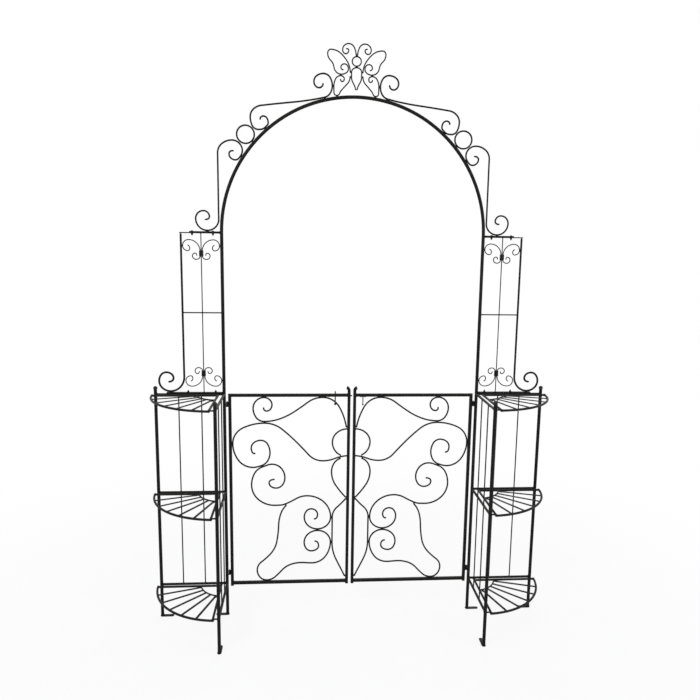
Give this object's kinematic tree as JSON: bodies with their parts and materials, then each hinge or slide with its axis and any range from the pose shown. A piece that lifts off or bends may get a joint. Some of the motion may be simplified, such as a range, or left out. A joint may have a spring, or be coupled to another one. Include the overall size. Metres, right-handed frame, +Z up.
{
  "type": "garden arch with gate",
  "caption": "Black metal garden arch with a pair of butterfly scroll gates, scrollwork wing panels and quarter-round plant stand shelves at both sides.",
  "frame": {"origin": "centre of the whole object's footprint, on the ground", "axes": "+Z up, +X across the path to the right as seen from the plant stand side, +Y along the path away from the plant stands; the arch, the wings and the gate lie in the plane Y = +0.134 m"},
  "size_m": [1.5902, 0.301, 2.2854],
  "materials": {
    "black_coat": "satin black powder coat with a fine orange peel",
    "black_hardware": "black zinc plate on bolts, nuts, pins and the latch bolt, rubbed brighter where it slides or turns",
    "plain_steel": "bare steel of the joining spigots inside the tubes",
    "cap_plastic": "moulded black plastic with a faint mould line"
  },
  "bodies": {
    "frame": {"arch_hoop": "black_coat", "crest_head": "black_coat", "crest_body": "black_coat", "crest_antennae": "black_coat", "crest_upper_wings": "black_coat", "crest_lower_wings": "black_coat", "left_upper_bracket": "black_coat", "right_upper_bracket": "black_coat", "bracket_rings": "black_coat", "left_lower_bracket": "black_coat", "right_lower_bracket": "black_coat", "bracket_foot_bars": "black_coat", "left_upper_post": "black_coat", "right_upper_post": "black_coat", "left_wing_rod": "black_coat", "right_wing_rod": "black_coat", "left_wing_bars": "black_coat", "right_wing_bars": "black_coat", "left_wing_scrolls": "black_coat", "right_wing_scrolls": "black_coat", "wing_collars": "black_coat", "post_spigots": "plain_steel", "joining_bolts": "black_hardware", "joining_nuts": "black_hardware", "left_lower_post": "black_coat", "right_lower_post": "black_coat", "left_outer_leg": "black_coat", "right_outer_leg": "black_coat", "left_front_leg": "black_coat", "right_front_leg": "black_coat", "left_rear_rails": "black_coat", "right_rear_rails": "black_coat", "left_side_rails": "black_coat", "right_side_rails": "black_coat", "left_spindles": "black_coat", "right_spindles": "black_coat", "left_top_shelf": "black_coat", "right_top_shelf": "black_coat", "left_middle_shelf": "black_coat", "right_middle_shelf": "black_coat", "left_bottom_shelf": "black_coat", "right_bottom_shelf": "black_coat", "leg_caps": "cap_plastic", "foot_tabs": "black_coat", "hinge_pins": "black_hardware"},
    "left_leaf": {"left_gate_stiles": "black_coat", "left_gate_rails": "black_coat", "left_gate_upper_wing": "black_coat", "left_gate_lower_wing": "black_coat", "left_gate_body": "black_coat", "left_hinge_eyes": "black_coat", "latch_guides": "black_coat"},
    "right_leaf": {"right_gate_stiles": "black_coat", "right_gate_rails": "black_coat", "right_gate_upper_wing": "black_coat", "right_gate_lower_wing": "black_coat", "right_gate_body": "black_coat", "right_hinge_eyes": "black_coat", "latch_keeper": "black_coat"},
    "latch": {"latch_bolt": "black_hardware"}
  },
  "joints": [
    {"name": "left_gate_swing", "type": "hinge", "parent": "frame", "child": "left_leaf", "pos_m": [-0.49985, 0.13367, 0.19], "axis": [0, 0, 1], "range_deg": [-88, 88]},
    {"name": "right_gate_swing", "type": "hinge", "parent": "frame", "child": "right_leaf", "pos_m": [0.49985, 0.13367, 0.19], "axis": [0, 0, 1], "range_deg": [-88, 88]},
    {"name": "latch_slide", "type": "slide", "parent": "left_leaf", "child": "latch", "axis": [1, 0, 0], "range_m": [0, 0.048]}
  ]
}
